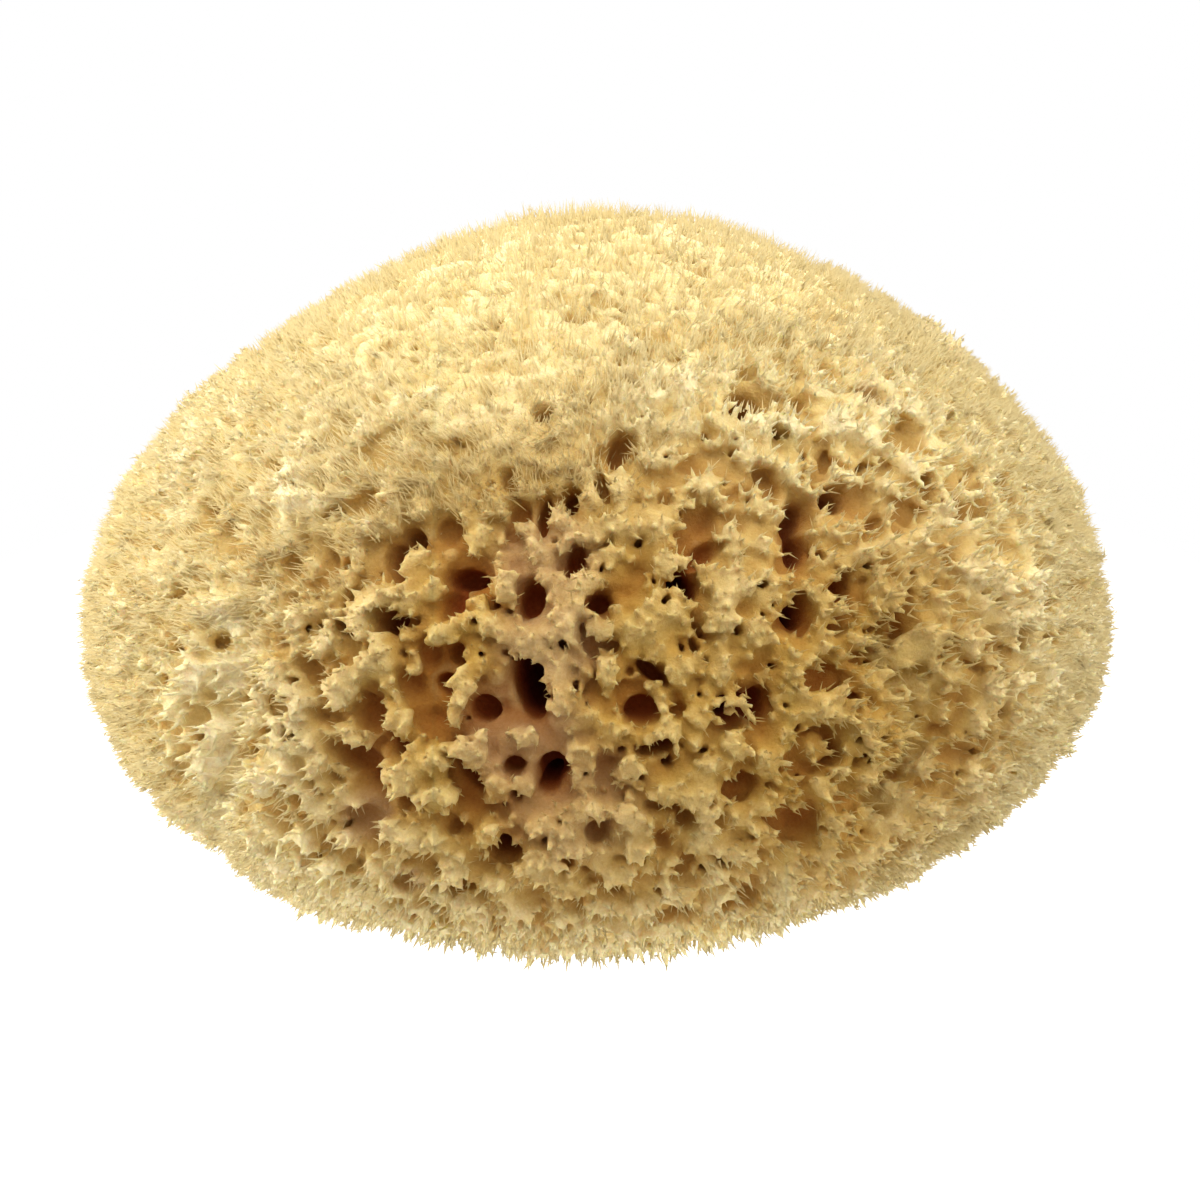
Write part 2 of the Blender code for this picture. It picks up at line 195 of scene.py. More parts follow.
# How planned places drift, and how the core is hollowed between the tufts: the coarse cells over
# which each random part changes, and its height in millimetres.
DRIFTS = ((5, 1.0), (2, 0.8))
HOLLOWS = ((2, 1.4), (1, 0.5))
WANDER = 1.6

# Roughness of the crowns: the millimetres over which it changes, and its height.
RIPPLES = ((0.9, 0.28), (1.8, 0.40))

# The core's depth below the form, where the growth is close, and how much deeper it is in the open.
CORE_DEPTH = 3.3
OPEN_CORE_DEPTH = 1.4

# How many evenly spread places are tried for large canals, fine canals and tufts.
PORE_PLACES = 420
FINE_PORE_PLACES = 2200
TUFT_PLACES = 26000

# The depths between which rims carry teeth and fringe.
RIM_DEPTHS = (-1.5, 2.8)


def unit(vectors):
    return vectors / np.linalg.norm(vectors, axis=-1, keepdims=True)


def smooth(low, high, value):
    """A share that eases from 0 at `low` to 1 at `high`."""
    share = np.clip((value - low) / (high - low), 0, 1)
    return share * share * (3 - 2 * share)


def along_axis(offset, axis):
    """The dot product of an axis with three grids of offsets."""
    return sum(offset[k] * axis[k] for k in range(3))


def angle_from(directions, middle):
    """The angle between unit directions and a middle one, in radians."""
    return np.arccos(np.clip(directions @ middle, -1, 1))


def swollen_form(directions):
    """How far the form reaches from the middle, along unit directions, without its furrows."""
    vertical = np.where(directions[:, 2] >= 0, RISE, DROP)
    axes = np.stack([np.full(len(directions), HALF_WIDTH), np.full(len(directions), HALF_DEPTH), vertical], 1)
    reach = 1 / np.linalg.norm(directions / axes, axis=1)
    for clock, share in SWELLS:
        angle = math.radians(clock)
        towards = math.cos(angle) * PICTURE_RIGHT + math.sin(angle) * PICTURE_UP
        apart = angle_from(directions, towards)
        reach = reach * (1 + share * np.exp(-((apart / SWELL_SPREAD) ** 2)))
    return reach


def seen_at(pixels):
    """The unit directions, from the middle, of the points of the form that the eye sees at pixels."""
    pixels = np.asarray(pixels, float).reshape(-1, 2)
    eye = AIM + EYE_DISTANCE * TO_EYE
    rightward = (pixels[:, :1] - PICTURE_PIXELS / 2) * PIXEL * PICTURE_RIGHT
    upward = (PICTURE_PIXELS / 2 - pixels[:, 1:]) * PIXEL * PICTURE_UP
    rays = unit(AIM + rightward + upward - eye)
    found = np.zeros((len(pixels), 3))
    nearest = np.full(len(pixels), np.inf)
    for along in np.arange(EYE_DISTANCE - SEARCH_BEFORE, EYE_DISTANCE + SEARCH_BEYOND, SEARCH_STEP):
        offset = eye + along * rays - MIDDLE
        outside = np.linalg.norm(offset, axis=1) / swollen_form(unit(offset))
        better = (nearest > 1) & (outside < nearest)
        found[better] = unit(offset)[better]
        nearest[better] = outside[better]
    return found


def direction_at(x, y):
    """The unit direction, from the middle, of the place that the eye sees at a pixel."""
    return unit(seen_at([(x, y)])[0])


def furrow_lines():
    """Points 1 mm or so apart along each furrow, on the form, from the middle."""
    points = []
    for run in FURROWS:
        run = np.array(run, float)
        steps = np.linspace(0, len(run) - 1, FURROW_POINTS_EACH)
        pixels = np.stack([np.interp(steps, np.arange(len(run)), run[:, k]) for k in (0, 1)], 1)
        directions = seen_at(pixels)
        points.append(directions * swollen_form(directions)[:, None])
    return np.concatenate(points)


FURROW_POINTS = furrow_lines()


def form(directions):
    """How far the tips of the tufts reach from the middle, along unit directions."""
    reach = swollen_form(directions)
    points = directions * reach[:, None]
    nearest = np.full(len(points), np.inf)
    for furrow_point in FURROW_POINTS:
        nearest = np.minimum(nearest, ((points - furrow_point) ** 2).sum(1))
    return reach - FURROW_DEPTH * np.exp(-nearest / FURROW_HALF_WIDTH**2)


# How open the growth is: 1 where crowns stand apart over deep canals, 0 where fine fuzz closes
# the skin. Middles of the open zones, the angles within and beyond which they are open, and by
# how much more the angles count upward.
OPEN_ZONES = (
    (direction_at(580, 740), 0.62, 1.30, 0.85),
    (direction_at(850, 620), 0.30, 0.95, 0.0),
    (direction_at(560, 920), 0.40, 0.80, 0.0),
    (direction_at(214, 730), 0.10, 0.34, 0.0),
    (unit(np.array((0.25, 0.95, -0.15))), 0.45, 1.10, 0.2),
)

# Elsewhere the growth is this open, but for the top, which closes between these heights of a
# direction, and the lowest rim, which opens between the others.
HALF_OPEN = 0.38
CLOSED_TOP = (0.55, 0.92)
LOW_OPEN = 0.8
LOW_RIM = (-0.48, -0.15)


# Where a mauve membrane shows: middle, reach in radians and strength.
MAUVE_PLACES = (
    (direction_at(545, 560), 0.17, 0.45),
    (direction_at(548, 640), 0.17, 0.45),
    (direction_at(520, 740), 0.20, 0.45),
    (direction_at(570, 810), 0.22, 0.35),
    (direction_at(355, 827), 0.08, 0.6),
    (direction_at(405, 888), 0.06, 0.5),
    (direction_at(876, 389), 0.05, 0.6),
)

# The tufts lean away from the middle of the front, most at its sides.
FRONT = direction_at(560, 700)
LEAN = 0.9
RIGHT_SIDE_LIFT = 0.6

# Where the growth is ochre: within the first angle of the middle of the front and of a place to the
# right of it, fading by the second. This is partly the sponge's own tone and partly painted shade on
# the front that faces the eye, which leaves the rims round it paler, as if lit.
FRONT_OCHRE_AND_SHADE = (0.25, 0.9)
RIGHT_OCHRE_AND_SHADE = direction_at(840, 720)
RIGHT_OCHRE_AND_SHADE_REACH = (0.20, 0.68)
BACK_OCHRE = 0.7

# Teeth and fringe stand this far apart, in millimetres.
TOOTH_SPACING = 1.3
FRINGE_SPACING = 0.9


def across(direction, toward):
    """Two unit vectors across a direction, the first as near to `toward` as it can be."""
    first = toward - direction * (toward @ direction)
    first = first / np.linalg.norm(first)
    return first, np.cross(direction, first)


def openness(directions):
    """How open the growth is at directions from the middle, from 0 to 1."""
    value = HALF_OPEN * (1 - smooth(*CLOSED_TOP, directions[:, 2]))
    value = np.maximum(value, LOW_OPEN * (1 - smooth(*LOW_RIM, directions[:, 2])))
    for middle, inner, outer, less_upward in OPEN_ZONES:
        apart = angle_from(directions, middle)
        upward = across(middle, np.array((0.0, 0.0, 1.0)))[0]
        upward_share = np.maximum(directions @ upward, 0) / np.maximum(np.sin(apart), 0.05)
        apart = apart * (1 + less_upward * upward_share)
        value = np.maximum(value, 1 - smooth(inner, outer, apart))
    return value


def growing_way(directions):
    """The way in which tufts grow at directions from the middle: outward and leaning from the front."""
    away = directions - FRONT * (directions @ FRONT)[:, None]
    away[:, 2] += RIGHT_SIDE_LIFT * np.maximum(away[:, 0], 0)
    turned = angle_from(directions, FRONT)
    lean = LEAN * smooth(0.25, 0.8, turned) * (1 - smooth(1.3, 2.2, turned))
    away /= np.maximum(np.linalg.norm(away, axis=1), 0.1)[:, None]
    return unit(directions + lean[:, None] * away)


def on_form(directions, depth=0.0):
    """Points at a depth below the form."""
    return MIDDLE + directions * (form(directions) - depth)[:, None]


class Growth:
    """The grid of distances: below 0 is sponge. Everything is evaluated at drifted places."""

    def __init__(self):
        self.random = np.random.default_rng(SEED)
        self.rough_random = np.random.default_rng(SEED + 2)
        axes = [GRID_LOW[k] + COARSE * np.arange(COARSE_SHAPE[k]) for k in range(3)]
        places = np.stack(np.meshgrid(*axes, indexing="ij"), -1)
        offset = (places - MIDDLE).reshape(-1, 3)
        away = np.linalg.norm(offset, axis=1)
        directions = offset / np.maximum(away, 1e-6)[:, None]
        depth = (form(directions) - away).reshape(COARSE_SHAPE)
        self.depth = self.finer(depth)
        self.open = self.finer(openness(directions).reshape(COARSE_SHAPE))
        self.shape = self.depth.shape
        self.at = []
        for k in range(3):
            self.at.append(self.finer(places[..., k] + self.drifting(DRIFTS)))
        self.field = np.full(self.shape, OUTSIDE, np.float32)

    def free_grids(self):
        """Gives back the memory of the grids, once the surface is made."""
        self.at = self.depth = self.open = self.field = None

    @staticmethod
    def sample(grid, points, step=1):
        """The interpolated values at points of a grid that has each `step`th cell."""
        cell = (points - GRID_LOW) / (VOXEL * step)
        cell = np.clip(cell, 0, np.array(grid.shape) - 1.001)
        first = cell.astype(int)
        share = cell - first
        total = np.zeros(len(points))
        for corner in range(8):
            side = np.array([corner >> k & 1 for k in range(3)])
            weight = np.where(side, share, 1 - share).prod(1)
            total += weight * grid[tuple((first + side).T)]
        return total

    @staticmethod
    def finer(coarse, factor=FINE_PER_COARSE):
        """The coarse grid, interpolated to `factor` times finer."""
        grid = np.asarray(coarse, np.float32)
        for axis in range(3):
            grid = np.moveaxis(grid, axis, 0)
            fine = np.empty(((len(grid) - 1) * factor + 1, *grid.shape[1:]), np.float32)
            fine[::factor] = grid
            for step in range(1, factor):
                fine[step::factor] = grid[:-1] + (grid[1:] - grid[:-1]) * (step / factor)
            grid = np.moveaxis(fine, 0, axis)
        return np.ascontiguousarray(grid)

    @staticmethod
    def random_grid(random, shape, cells, height):
        """Random values up to `height` on a grid, that change evenly over `cells` of it."""
        seeds = [math.ceil((count - 1) / cells) + 1 for count in shape]
        values = Growth.finer(random.uniform(-height, height, seeds), cells)
        return values[tuple(slice(0, count) for count in shape)]

    def drift(self, cells, height):
        """Smooth random values up to about `height` on the coarse grid, that change over `cells` of it."""
        values = self.random_grid(self.random, COARSE_SHAPE, cells, 1)
        return self.softened(values, cells // 2) * height

    def drifting(self, kinds):
        """The sum of several drifts, each given by its cells and its height."""
        return sum(self.drift(*kind) for kind in kinds)

    @staticmethod
    def softened(values, times):
        """The grid with each cell blended into its neighbours."""
        for axis in range(3):
            values = np.moveaxis(values, axis, 0)
            for _ in range(times):
                padded = np.concatenate([values[:1], values, values[-1:]])
                values = (padded[:-2] + 2 * padded[1:-1] + padded[2:]) / 4
            values = np.moveaxis(values, 0, axis)
        return values

    def ripple(self, size, height):
        """Random values up to `height` on the fine grid, that change over `size` mm."""
        return self.random_grid(self.rough_random, self.shape, max(2, round(size / VOXEL)), height)

    def block(self, low, high):
        """The slices of the grid between two corners."""
        first = np.floor((low - GRID_LOW) / VOXEL).astype(int)
        last = np.ceil((high - GRID_LOW) / VOXEL).astype(int) + 1
        return tuple(slice(max(first[k], 0), min(last[k], self.shape[k])) for k in range(3))

    def offset(self, block, place):
        """How far the drifted places of a block are from a planned place, as three grids."""
        return [self.at[k][block] - place[k] for k in range(3)]

    def merge(self, block, distance, soft):
        """Joins a shape, given by its distances in a block, to the sponge with a soft seam."""
        near = np.maximum(soft - np.abs(self.field[block] - distance), 0)
        self.field[block] = np.minimum(self.field[block], distance) - near * near / (4 * soft)

    def carve(self, block, distance, soft):
        """Cuts such a shape out of the sponge with a soft edge."""
        near = np.maximum(soft - np.abs(self.field[block] + distance), 0)
        self.field[block] = np.maximum(self.field[block], -distance) + near * near / (4 * soft)

    def fullness(self):
        """How full of sponge it is around each second cell: 0.5 at a plane, less at an edge."""
        share = np.clip(0.5 - self.field[::2, ::2, ::2] / (4 * VOXEL), 0, 1)
        return self.softened(share, 3)

    def thin_places(self, spacing):
        """Places of the outer skin at rims and points, one in a cell of `spacing` mm, and its normals."""
        full = self.fullness()
        highest, lowest = RIM_DEPTHS
        near = (np.abs(self.field) < 0.5 * VOXEL) & (self.depth > highest) & (self.depth < lowest)
        near[[0, -1]] = near[:, [0, -1]] = near[:, :, [0, -1]] = False
        cells = self.random.permutation(np.argwhere(near))
        points = GRID_LOW + VOXEL * cells
        normals = np.empty(points.shape)
        for axis in range(3):
            step = np.eye(3, dtype=int)[axis]
            normals[:, axis] = self.field[tuple((cells + step).T)] - self.field[tuple((cells - step).T)]
        normals = unit(normals + 1e-6)
        outward = unit(points - MIDDLE)
        thin = self.sample(full, points, 2) < 0.45 - 0.05 * openness(outward)
        kept = thin & ((normals * outward).sum(1) > -0.2) & (points[:, 2] > 0.8)
        points, normals = points[kept], normals[kept]
        places = np.floor(points / spacing + 1000).astype(np.int64)
        _, first = np.unique(places @ np.array((1, 10**4, 10**8)), return_index=True)
        return points[first], normals[first]

    def strut(self, start, end, start_radius, end_radius, soft=0.7, bore=False):
        """Merges a tapering round rod between planned places, or bores it out."""
        room = max(start_radius, end_radius) + soft + WANDER
        block = self.block(np.minimum(start, end) - room, np.maximum(start, end) + room)
        along = end - start
        offset = self.offset(block, start)
        share = np.clip(along_axis(offset, along) / (along @ along), 0, 1)
        square = sum((offset[k] - share * along[k]) ** 2 for k in range(3))
        distance = np.sqrt(square) - (start_radius + share * (end_radius - start_radius))
        if bore:
            self.carve(block, distance, soft)
        else:
            self.merge(block, distance, soft)

    def pore(self, middle, axis_a, axis_b, depth):
        """Bores an oval canal in from the form, narrowing a little to a round end."""
        inward = unit(MIDDLE - middle)
        half_a, half_b = np.linalg.norm(axis_a), np.linalg.norm(axis_b)
        room = max(half_a, half_b) * 1.3 + 2
        end = middle + inward * depth
        outer = middle - inward * FLARE_HEIGHT
        block = self.block(np.minimum(outer, end) - room, np.maximum(outer, end) + room)
        offset = self.offset(block, middle)
        sunk = along_axis(offset, inward)
        share_a = along_axis(offset, axis_a) / half_a**2
        share_b = along_axis(offset, axis_b) / half_b**2
        width = MOUTH - NARROWING * np.clip(sunk / depth, 0, 1) + FLARE * np.clip(-sunk / FLARE_HEIGHT, 0, 1)
        round_off = np.clip((sunk - depth + half_b) / half_b, 0, 1) ** 2
        distance = (np.sqrt(share_a**2 + share_b**2 + round_off) - width) * min(half_a, half_b)
        self.carve(block, distance, 0.8)


def pore_axes(direction, width, height, turn):
    """The half axes of a mouth, across its direction from the middle."""
    right, upward = across(direction, PICTURE_RIGHT)
    long_axis = math.cos(turn) * right + math.sin(turn) * upward
    short_axis = math.cos(turn) * upward - math.sin(turn) * right
    return width / 2 * long_axis, height / 2 * short_axis


def read_pores(rows):
    """Pits read from the picture: (middle on the form, half axes across it, depth)."""
    rows = np.array(rows, float)
    pores = []
    for direction, (_, _, width, height, tilt, depth) in zip(seen_at(rows[:, :2]), rows):
        middle = MIDDLE + direction * swollen_form(direction[None])[0]
        axis_a, axis_b = pore_axes(direction, width * PIXEL, height * PIXEL, math.radians(tilt))
        if depth <= BLACK_FROM:
            depth = max(LEAST_DEPTH, SHALLOWER * depth)
        pores.append((middle, axis_a, axis_b, depth))
    return pores


def lattice(count, jitter, random):
    """Unit directions spread evenly over a sphere, each moved by up to jitter of their spacing."""
    turns = np.arange(count) + 0.5
    height = 1 - 2 * turns / count
    level = np.sqrt(1 - height**2)
    even = np.stack([level * np.cos(GOLDEN_TURN * turns), level * np.sin(GOLDEN_TURN * turns), height], 1)
    spacing = math.sqrt(4 * math.pi / count)
    return unit(even + jitter * spacing * random.uniform(-1, 1, even.shape))


def scattered_pores(taken, random):
    """Pits over the rest of the sponge, clear of the ones already taken and fewer where the eye sees."""
    pores = list(taken)
    directions = lattice(PORE_PLACES, 0.5, random)
    directions = directions[np.argsort(random.uniform(0, 1, len(directions)))]
    places = on_form(directions)
    for direction, place, wide in zip(directions, places, openness(directions)):
        share = np.clip(0.15 + 0.65 * wide + random.uniform(-0.2, 0.3), 0, 1)
        seen = smooth(-0.1, 0.3, direction @ TO_EYE)
        if random.uniform() < 0.75 * seen:
            continue
        share *= 1 - 0.8 * seen
        radius = 0.9 + 2.3 * share
        stretch = random.uniform(1.0, 1.35)
        turn = random.uniform(0, math.tau)
        room = radius + WANDER
        rooms = ((other, room + np.linalg.norm(a + b) / 1.4) for other, a, b, _ in pores)
        if any(np.linalg.norm(place - other) < needed for other, needed in rooms):
            continue
        axis_a, axis_b = pore_axes(direction, 2 * radius * stretch, 2 * radius / stretch, turn)
        pores.append((place, axis_a, axis_b, 4.5 + 9 * share))
    return pores[len(taken):]


def outside_pores(places, pores, rim):
    """Which places are clear of the canal mouths, by `rim` mm."""
    clear = np.ones(len(places), bool)
    for middle, axis_a, axis_b, _ in pores:
        offset = places - middle
        share_a = offset @ axis_a / (axis_a @ axis_a)
        share_b = offset @ axis_b / (axis_b @ axis_b)
        edge = 1 + rim / math.sqrt(np.linalg.norm(axis_a) * np.linalg.norm(axis_b))
        clear &= (np.hypot(share_a, share_b) > edge) | (np.linalg.norm(offset, axis=1) > 14)
    return clear


def spaced(places, spacing, taken):
    """The rows of places that keep their spacing from the ones taken and from each other."""
    chosen = taken
    picked = []
    for k, place in enumerate(places):
        if len(chosen) == 0 or ((chosen - place) ** 2).sum(1).min() > spacing[k] ** 2:
            chosen = np.concatenate([chosen, place[None]])
            picked.append(k)
    return picked


def shuffled_lattice(count, random):
    """Directions in a random order, and their places on the form, for what stands above the cut."""
    directions = lattice(count, 0.6, random)
    directions = directions[np.argsort(random.uniform(0, 1, count))]
    places = on_form(directions)
    above = places[:, 2] > -3
    return directions[above], places[above]


class Lobe:
    """A tuft: a stalk that widens to an oval crown."""

    def __init__(self, place, direction, size, sunk, length, random):
        self.wide = openness(direction[None])[0]
        self.size = size
        way = growing_way(direction[None])[0]
        self.axis = unit(way + 0.22 * random.normal(0, 1, 3))
        self.top = place - direction * sunk
        self.foot = self.top - self.axis * length
        sideways = np.cross(self.axis, way - direction) + 0.2 * random.normal(0, 1, 3)
        self.long_axis, self.short_axis = across(self.axis, sideways)
        self.length = length
        self.half_long = size * random.uniform(0.30, 0.50)
        self.half_short = self.half_long * random.uniform(0.35, 0.75)

    def merge_into(self, growth):
        room = self.half_long + self.size * 0.3 + 2.2
        low = np.minimum(self.foot, self.top) - room
        high = np.maximum(self.foot, self.top) + room
        block = growth.block(low, high)
        offset = growth.offset(block, self.foot)
        along = along_axis(offset, self.axis)
        share = np.clip(along / self.length, 0, 1)
        half_long = self.half_long * (0.95 + 0.05 * share) + 0.5 * (1 - share)
        half_short = self.half_short + (0.35 * self.size - self.half_short) * (1 - share)
        share_long = along_axis(offset, self.long_axis) / half_long
        share_short = along_axis(offset, self.short_axis) / half_short
        side = (np.sqrt(share_long**2 + share_short**2) - 1) * np.minimum(half_long, half_short)
        over = along - self.length
        near = np.maximum(0.9 - np.abs(side - over), 0)
        distance = np.maximum(side, over) + near * near / 3.6
        growth.merge(block, distance, 0.25 * self.size)


def plan_lobes(pores, random):
    """Lobes of both ranks in the open growth, and the small close ones of the fuzz."""
    directions, places = shuffled_lattice(TUFT_PLACES, random)
    clear = outside_pores(places, pores, 0.9)
    directions, places = directions[clear], places[clear]
    wide = openness(directions)
    first = spaced(places, 3.6 + 1.6 * wide, np.empty((0, 3)))
    lobes = []
    for k in first:
        sunk = 1.7 - 1.2 * wide[k] + 1.3 * random.uniform(0, 1) ** 1.5 * (0.4 + 0.6 * wide[k])
        length = 3.0 + 5.0 * wide[k]
        size = (3.7 + 1.8 * wide[k]) * random.uniform(0.7, 1.35)
        lobes.append(Lobe(places[k], directions[k], size, sunk, length, random))
    second = spaced(places, 2.1 + 0.8 * wide, places[first])
    for k in second:
        sunk = 2.0 - 1.1 * wide[k] + (0.5 + 2.6 * wide[k]) * random.uniform(0.2, 1)
        length = 2.4 + 4.2 * wide[k]
        size = (2.2 + 1.2 * wide[k]) * random.uniform(0.8, 1.2)
        lobes.append(Lobe(places[k], directions[k], size, sunk, length, random))
    return lobes


def add_walls(growth, lobes):
    """Walls between neighbouring lobes, which join them into webs."""
    random = growth.random
    tops = np.array([lobe.top for lobe in lobes])
    for k, lobe in enumerate(lobes):
        away = np.linalg.norm(tops - tops[k], axis=1)
        near = np.flatnonzero((away > 0) & (away < 0.8 * lobe.size + 2.4))
        for other in near[near > k]:
            if random.uniform() > 0.52 + 0.25 * lobe.wide:
                continue
            drop = 0.25 * random.uniform() * lobe.length
            start = lobe.top - lobe.axis * (drop + 0.4)
            end = lobes[other].top - lobes[other].axis * (drop + 0.4)
            radius = 0.17 * min(lobe.size, lobes[other].size) * random.uniform(0.8, 1.3)
            inward = unit(MIDDLE - start)
            low = inward * 1.5 * radius
            growth.strut(start, end, radius, radius, 1.2)
            growth.strut(start + low, end + low, 1.3 * radius, 1.3 * radius, 1.2)


def bore_canals(growth, pores):
    """The canals of the mouths, and fine ones all over."""
    random = growth.random
    for middle, axis_a, axis_b, depth in pores:
        growth.pore(middle, axis_a, axis_b, depth)
    for direction in lattice(FINE_PORE_PLACES, 0.6, random):
        if random.uniform() < 0.15 + 0.60 * openness(direction[None])[0]:
            top = on_form(direction[None], 1.0)[0]
            inward = unit(MIDDLE - top + 14 * random.uniform(-1, 1, 3))
            radius = random.uniform(0.35, 0.8)
            growth.strut(top, top + inward * random.uniform(2.5, 5), radius, radius * 0.7, 0.4, bore=True)


def add_lump_and_strands(growth):
    """What stands or hangs in the pits of the front."""
    x, y, radius, depth = LUMP
    lump = seen_at([(x, y)])[0]
    middle = on_form(lump[None], depth)[0]
    growth.strut(middle, middle - 3 * lump, radius, radius, 0.6)
    for start, end, depth in STRANDS:
        start, end = on_form(seen_at([start, end]), depth)
        growth.strut(start, end, STRAND_RADIUS, STRAND_RADIUS, 0.5)


def add_teeth(growth):
    """Teeth on the rims and points. Returns their ends, directions and lengths for finer points."""
    random = growth.random
    points, normals = growth.thin_places(TOOTH_SPACING)
    outward = unit(points - MIDDLE)
    ragged = smooth(0.3, 0.8, angle_from(outward, FRONT)) * openness(outward)
    ways = 0.8 * growing_way(outward) + 0.6 * normals + 0.25 * random.normal(0, 1, points.shape)
    ways = unit(ways)
    kept = random.uniform(0, 1, len(points)) < 0.75 * smooth(0.02, 0.25, openness(outward))
    points, ways, outward, ragged = points[kept], ways[kept], outward[kept], ragged[kept]
    lengths = random.uniform(0.3, 1.3, len(points)) * (1 + 0.9 * ragged)
    ends = points + lengths[:, None] * ways
    feet = points - 0.6 * ways
    planned = [np.stack([growth.sample(at, places) for at in growth.at], 1) for places in (feet, ends)]
    wide = openness(outward)
    for foot, end, radius in zip(*planned, 0.36 + 0.08 * wide - 0.06 * ragged):
        growth.strut(foot, end, radius, 0.22, 0.5)
    return ends, ways, lengths * (0.4 + 0.6 * np.maximum(ragged, 1 - wide))


def grow(growth):
    """Fills the grid, and returns the teeth, and the places and normals of the rims."""
    pores = read_pores(FRONT_PORES + SMALL_PORES)
    pores += scattered_pores(pores, growth.random)
    lobes = plan_lobes(pores, growth.random)

    # The core, with hollows between the lobes.
    hollows = growth.finer(growth.drifting(HOLLOWS))
    floor_depth = CORE_DEPTH + OPEN_CORE_DEPTH * growth.open
    growth.merge((slice(None),) * 3, floor_depth + hollows - growth.depth, 0.1)
    for lobe in lobes:
        lobe.merge_into(growth)
    add_walls(growth, lobes)
    bore_canals(growth, pores)
    add_lump_and_strands(growth)

    # Roughness of the crowns. The walls of the canals stay smooth.
    rough = (1 - 0.8 * smooth(1.5, 4.5, growth.depth)) * (0.4 + 0.6 * growth.open)
    growth.field += sum(growth.ripple(*kind) for kind in RIPPLES) * rough

    teeth = add_teeth(growth)
    fringe = growth.thin_places(FRINGE_SPACING)

    # The flat cut.
    axis_z = GRID_LOW[2] + VOXEL * np.arange(growth.shape[2], dtype=np.float32)
    growth.field = np.maximum(growth.field, -axis_z[None, None, :])
    return teeth, fringe


def pieces_of(count, edges):
    """A label for each of `count` points, the same for all that edges join."""
    label = np.arange(count)
    while True:
        low = np.minimum(label[edges[:, 0]], label[edges[:, 1]])
        lower = label.copy()
        np.minimum.at(lower, label[edges[:, 0]], low)
        np.minimum.at(lower, label[edges[:, 1]], low)
        lower = lower[lower]
        if (lower == label).all():
            return label
        label = lower


def new_mesh(name, points, triangles):
    """A mesh of triangles, from points in metres."""
    mesh = bpy.data.meshes.new(name)
    mesh.vertices.add(len(points))
    mesh.vertices.foreach_set("co", np.asarray(points, np.float32).ravel())
    mesh.loops.add(3 * len(triangles))
    mesh.loops.foreach_set("vertex_index", np.asarray(triangles, np.int32).ravel())
    mesh.polygons.add(len(triangles))
    mesh.polygons.foreach_set("loop_start", np.arange(0, 3 * len(triangles), 3, dtype=np.int32))
    mesh.update()
    mesh.validate()
    return mesh


def new_object(data):
    """An object in the scene, named as its mesh, lamp or camera is."""
    made = bpy.data.objects.new(data.name, data)
    bpy.context.scene.collection.objects.link(made)
    return made


def skin_of(growth):
    """The surface of the growth as points and triangles, without loose bits and closed bubbles."""
    grid = openvdb.FloatGrid(OUTSIDE)
    grid.copyFromArray(np.ascontiguousarray(growth.field))
    points, triangles, quads = grid.convertToPolygons(isovalue=0, adaptivity=0)
    triangles = np.concatenate([triangles, quads[:, [0, 1, 2]], quads[:, [0, 2, 3]]]).astype(np.int64)
    label = pieces_of(len(points), np.concatenate([triangles[:, :2], triangles[:, 1:]]))
    main = np.bincount(label).argmax()
    triangles = triangles[label[triangles[:, 0]] == main]
    used = np.zeros(len(points), bool)
    used[triangles] = True
    renumbered = np.cumsum(used) - 1
    points = GRID_LOW + VOXEL * points[used]
    triangles = renumbered[triangles]
    a, b, c = (points[triangles[:, k]] for k in range(3))
    if np.einsum("ij,ij->", a, np.cross(b, c)) < 0:
        triangles = triangles[:, ::-1]
    return points, triangles


def thinned(source, faces):
    """The mesh with its triangles merged where it is flattest, down to about `faces`."""
    thinner = source.modifiers.new("thinner", "DECIMATE")
    thinner.ratio = min(1, faces / len(source.data.polygons))
    graph = bpy.context.evaluated_depsgraph_get()
    mesh = bpy.data.meshes.new_from_object(source.evaluated_get(graph))
    source.modifiers.clear()
    source.data = mesh
    return mesh


def slabs(mesh, count):
    """The closed mesh cut by upright planes into `count` closed meshes, side by side, of like size."""
    middles = np.empty(3 * len(mesh.polygons), np.float32)
    mesh.polygons.foreach_get("center", middles)
    shares = np.linspace(0, 1, count + 1)[1:-1]
    planes = [-1.0, *np.quantile(middles[::3], shares), 1.0]
    made = []
    for k in range(count):
        slab = bmesh.new()
        slab.from_mesh(mesh)
        for x, side in ((planes[k], -1), (planes[k + 1], 1)):
            if abs(x) < 1:
                geometry = slab.verts[:] + slab.edges[:] + slab.faces[:]
                cut = bmesh.ops.bisect_plane(
                    slab, geom=geometry, plane_co=(x, 0, 0), plane_no=(side, 0, 0), clear_outer=True
                )["geom_cut"]
                rims = [item for item in cut if isinstance(item, bmesh.types.BMEdge)]
                bmesh.ops.triangle_fill(slab, use_beauty=True, edges=rims)
                for rim in rims:
                    rim.smooth = False
        part = bpy.data.meshes.new(f"sponge_body_{k + 1}")
        slab.to_mesh(part)
        slab.free()
        made.append(part)
    return made


def coordinates(mesh):
    points = np.empty(3 * len(mesh.vertices), np.float32)
    mesh.vertices.foreach_get("co", points)
    return points.reshape(-1, 3)


def mark(mesh, name, values):
    mesh.attributes.new(name, "FLOAT", "POINT").data.foreach_set("value", np.asarray(values, np.float32))


